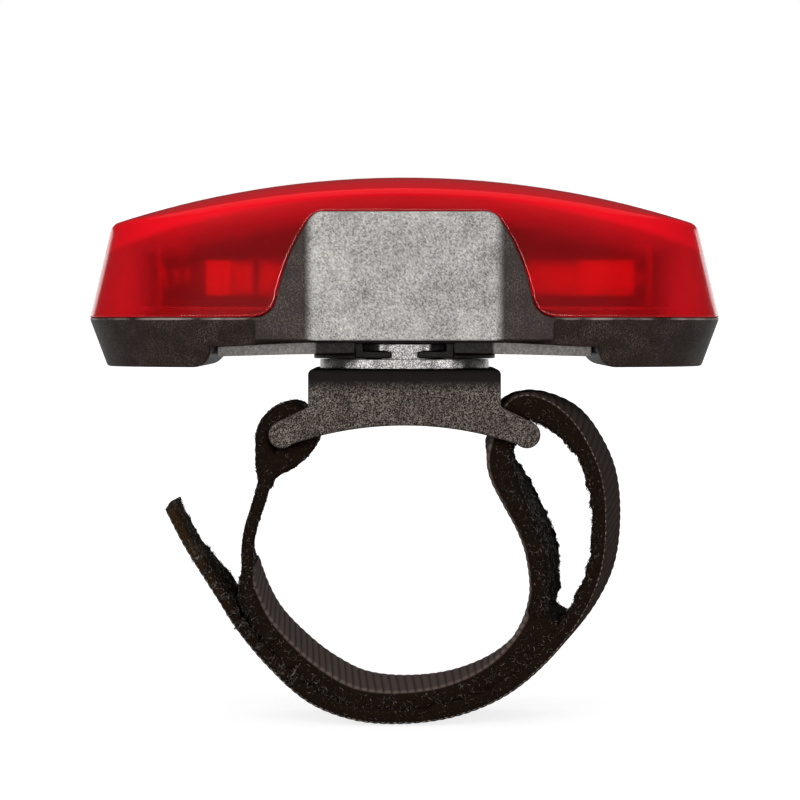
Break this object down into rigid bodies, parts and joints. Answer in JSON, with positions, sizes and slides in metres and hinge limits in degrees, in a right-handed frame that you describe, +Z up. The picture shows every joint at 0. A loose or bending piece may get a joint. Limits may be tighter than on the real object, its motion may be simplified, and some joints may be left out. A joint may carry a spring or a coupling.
{
  "type": "helmet light",
  "caption": "Red rear light on a swivelling saddle bracket with a hook-and-loop strap; the lens pulls off to change the cells.",
  "frame": {"origin": "top of the saddle's hollow, on the swivel's axis", "axes": "+X along the light, +Y away from the viewer, +Z up through the lens"},
  "size_m": [0.066, 0.0366, 0.0563],
  "materials": {
    "lens": "frosted red transparent plastic",
    "housing": "fine spark-eroded texture",
    "hub": "polished",
    "bracket": "fine spark-eroded texture",
    "pile": "looped pile tape",
    "hook": "ribbed woven tape with hooks",
    "screw": "zinc plated",
    "seal": "moulded",
    "button": "moulded, matte",
    "carrier": "moulded",
    "cell": "plain printed film over steel",
    "contact": "nickel plated spring steel",
    "board": "solder mask over glass laminate",
    "diode": "white package with clear fill",
    "reflector": "white",
    "switch": "moulded"
  },
  "bodies": {
    "mount": {"bracket": "bracket", "swivel_hub": "hub", "hub_screw": "screw", "strap_anchor_loop": "pile", "strap_inner_run": "pile", "strap_outer_run": "hook"},
    "tail": {"strap_tail": "hook"},
    "head": {"housing": "housing", "back_plate": "housing", "plate_screws": "screw", "lens_seals": "seal", "battery_cradle": "carrier", "battery_near": "cell", "battery_far": "cell", "battery_springs": "contact", "contact_link": "contact", "contact_positive": "contact", "contact_negative": "contact", "led_board": "board", "leds": "diode", "reflector": "reflector", "switch_board": "board", "switch_body": "switch"},
    "lens_cap": {"lens": "lens"},
    "button": {"power_button": "button"},
    "plunger": {"switch_plunger": "switch"}
  },
  "joints": [
    {"name": "head_swivel", "type": "hinge", "parent": "mount", "child": "head", "pos_m": [0, 0, 0.0067], "axis": [0, 0, 1], "continuous": true},
    {"name": "lens_pull", "type": "slide", "parent": "head", "child": "lens_cap", "axis": [0, 0, 1], "range_m": [0, 0.025]},
    {"name": "button_press", "type": "slide", "parent": "head", "child": "button", "axis": [0, -1, 0], "range_m": [0, 0.0004], "stiffness_N_per_m": 1500},
    {"name": "plunger_press", "type": "slide", "parent": "head", "child": "plunger", "axis": [0, -1, 0], "range_m": [0, 0.0004]},
    {"name": "tail_peel", "type": "hinge", "parent": "mount", "child": "tail", "pos_m": [-0.01845, 0, -0.0175], "axis": [0, -1, 0], "range_deg": [0, 55], "stiffness_Nm_per_rad": 0.01}
  ],
  "couplings": [
    {"joint": "plunger_press", "follows": "button_press", "ratio": 1}
  ]
}
